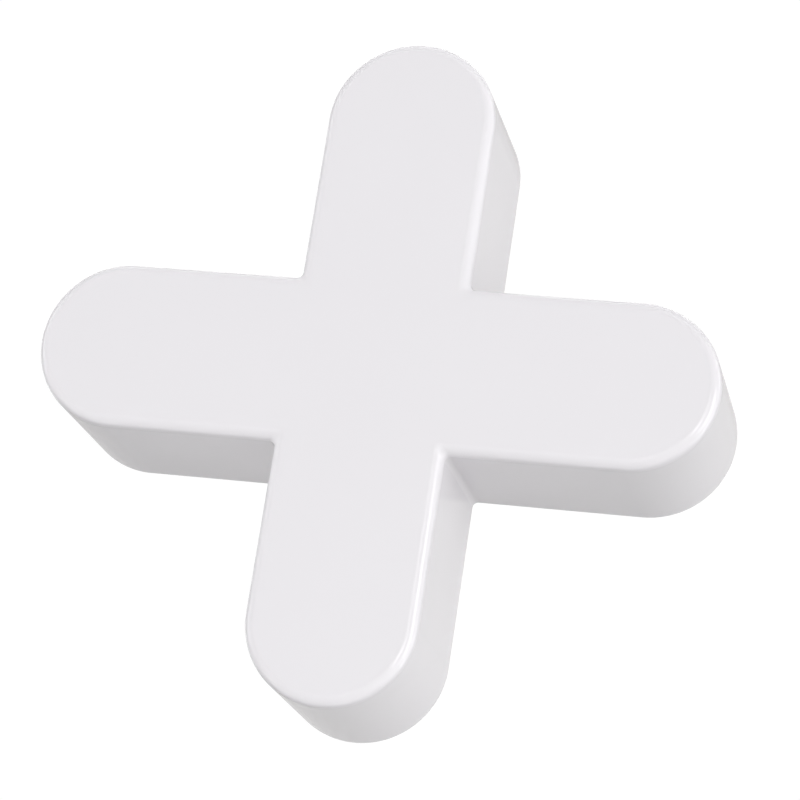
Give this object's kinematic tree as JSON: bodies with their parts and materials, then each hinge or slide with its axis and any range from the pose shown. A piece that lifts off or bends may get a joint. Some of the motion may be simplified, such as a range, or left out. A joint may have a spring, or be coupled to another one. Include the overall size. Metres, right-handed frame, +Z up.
{
  "type": "tile spacer",
  "caption": "Cross-shaped plastic tile spacer with equal round-ended arms, laid flat where tile corners meet to keep an even grout joint.",
  "frame": {"origin": "centre of the lower flat face, where the spacer's two centre lines cross", "axes": "+X, +Y, -X and -Y each run out along one arm, +Z up through the upper flat face"},
  "size_m": [0.02, 0.02, 0.0051],
  "materials": {
    "white_plastic": "smooth satin-gloss injection-moulded plastic, off-white with a faint violet cast"
  },
  "bodies": {
    "root": {"spacer": "white_plastic"}
  },
  "joints": []
}
